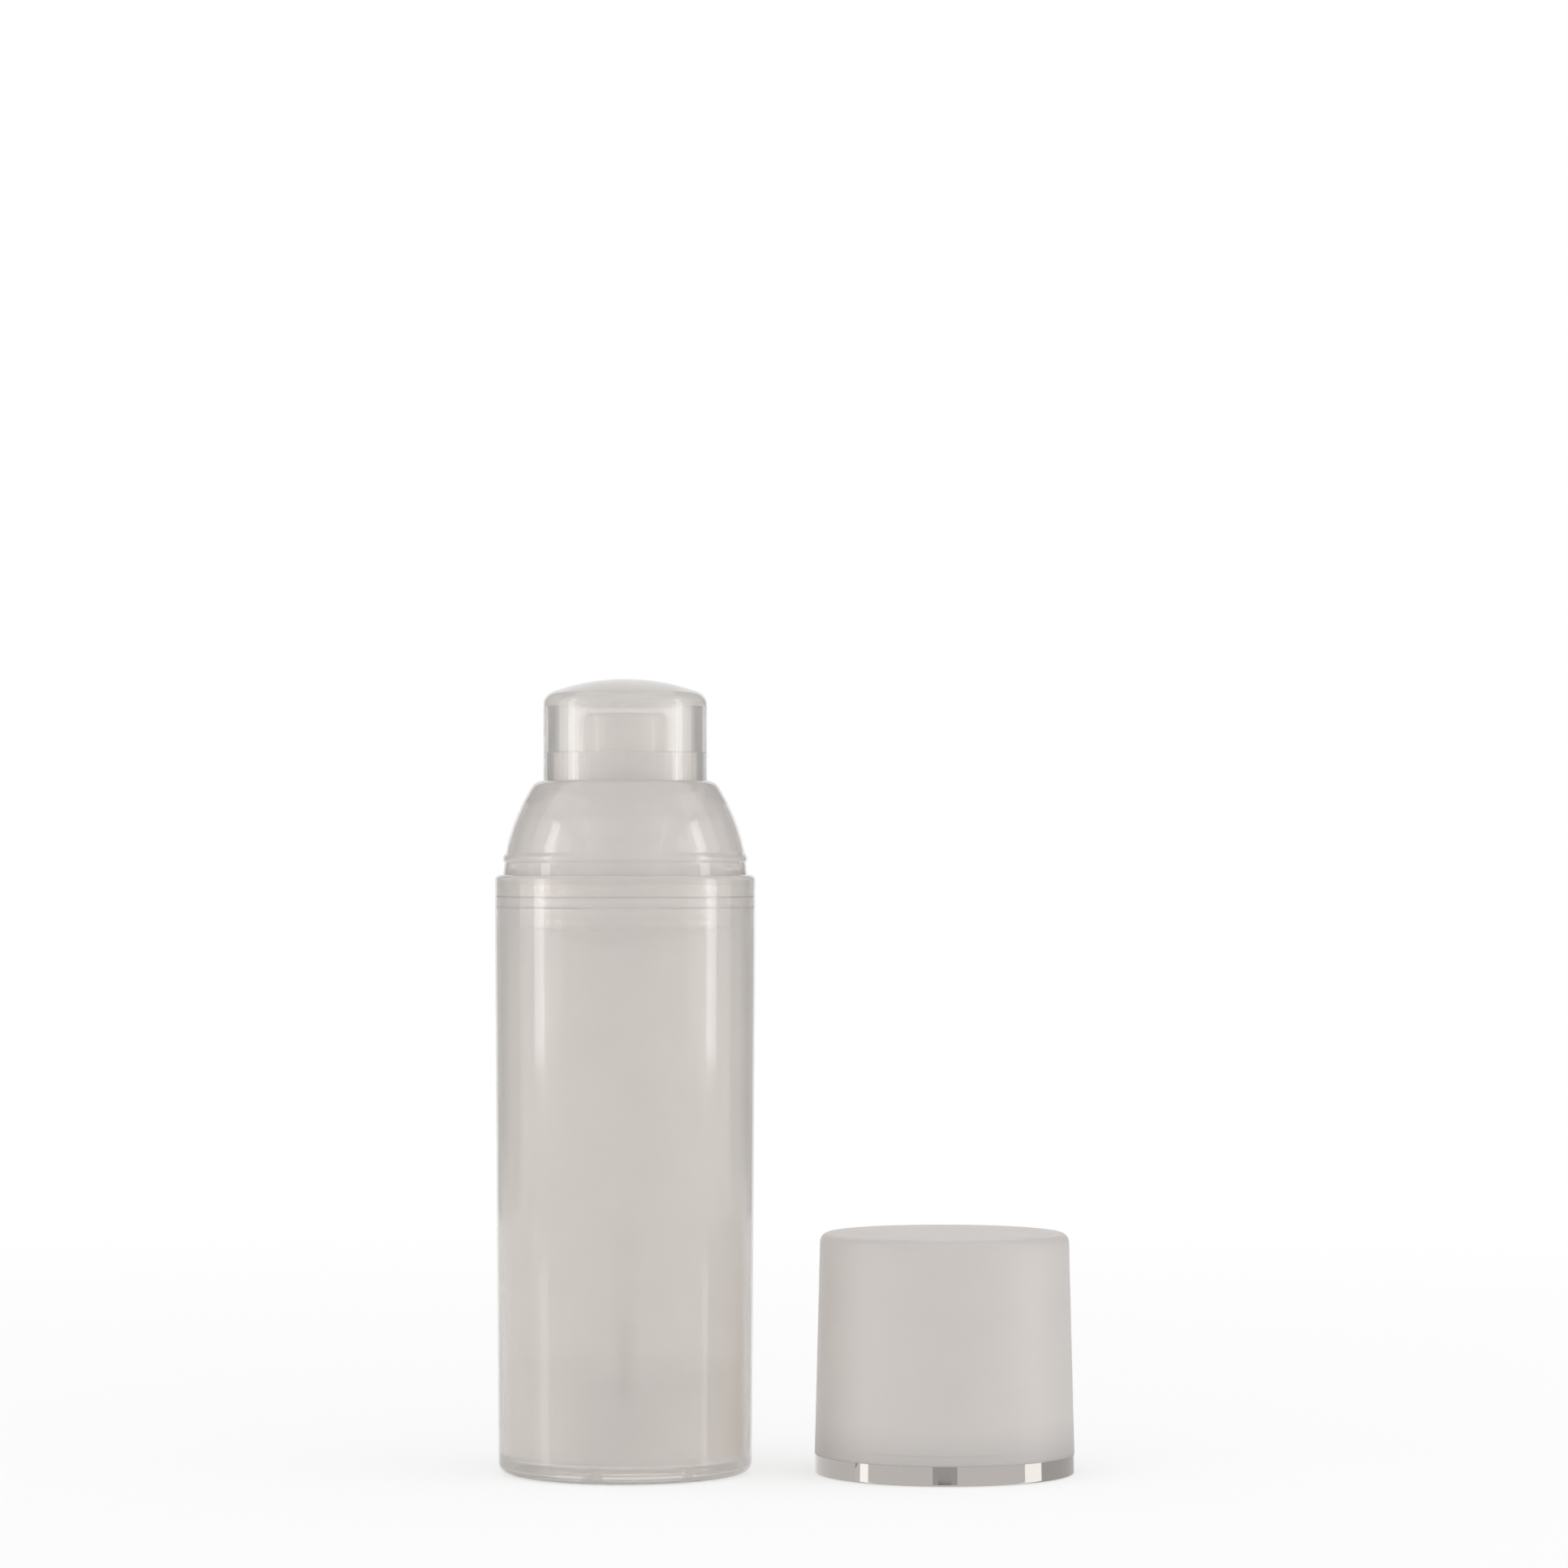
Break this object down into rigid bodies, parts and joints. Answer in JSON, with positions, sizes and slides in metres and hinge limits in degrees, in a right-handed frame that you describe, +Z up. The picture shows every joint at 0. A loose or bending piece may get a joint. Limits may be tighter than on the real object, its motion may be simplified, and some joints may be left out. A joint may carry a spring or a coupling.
{
  "type": "airless pump bottle",
  "caption": "Round airless pump bottle with a rising follower piston, domed snap-in collar, clear press button over a bellows pump, and a lift-off cap standing beside it.",
  "frame": {"origin": "middle of the bottle's flat base, on the bottle's axis", "axes": "+Z up along the bottle's axis, the nozzle faces +Y, and the cap stands beside the bottle towards +X"},
  "size_m": [0.0823, 0.039, 0.1126],
  "materials": {
    "bottle": "frosted translucent polypropylene",
    "follower_piston": "waxy natural polyethylene",
    "collar": "frosted translucent polypropylene",
    "pump_base": "natural polypropylene, satin",
    "inlet_ball": "polished valve ball",
    "bellows": "soft low-density polyethylene",
    "stem": "natural polypropylene, satin",
    "outlet_ball": "polished valve ball",
    "retainer_ring": "natural polypropylene, satin",
    "actuator_core": "natural polypropylene, satin",
    "button": "clear glossy copolymer, polished mould",
    "nozzle_insert": "natural polypropylene, satin",
    "cap": "satin frosted outside with a polished band at the mouth"
  },
  "bodies": {
    "container": {"bottle": "bottle", "collar": "collar", "pump_base": "pump_base", "retainer_ring": "retainer_ring", "bellows": "bellows"},
    "follower": {"follower_piston": "follower_piston"},
    "inlet_valve": {"inlet_ball": "inlet_ball"},
    "pump_stem": {"stem": "stem"},
    "outlet_valve": {"outlet_ball": "outlet_ball"},
    "actuator": {"actuator_core": "actuator_core", "button": "button", "nozzle_insert": "nozzle_insert"},
    "lid": {"cap": "cap"}
  },
  "joints": [
    {"name": "follower_rise", "type": "slide", "parent": "container", "child": "follower", "axis": [0, 0, 1], "range_m": [0, 0.06185]},
    {"name": "press", "type": "slide", "parent": "container", "child": "pump_stem", "axis": [0, 0, -1], "range_m": [0, 0.006], "stiffness_N_per_m": 1500, "deforming": ["bellows"]},
    {"name": "swivel", "type": "hinge", "parent": "pump_stem", "child": "actuator", "pos_m": [0, 0, 0.0982], "axis": [0, 0, 1], "continuous": true},
    {"name": "inlet_lift", "type": "slide", "parent": "container", "child": "inlet_valve", "axis": [0, 0, 1], "range_m": [0, 0.0008]},
    {"name": "outlet_lift", "type": "slide", "parent": "pump_stem", "child": "outlet_valve", "axis": [0, 0, 1], "range_m": [0, 0.0008]},
    {"name": "cap_lift", "type": "slide", "parent": "container", "child": "lid", "axis": [0, 0, 1], "range_m": [0, 0.12]}
  ]
}
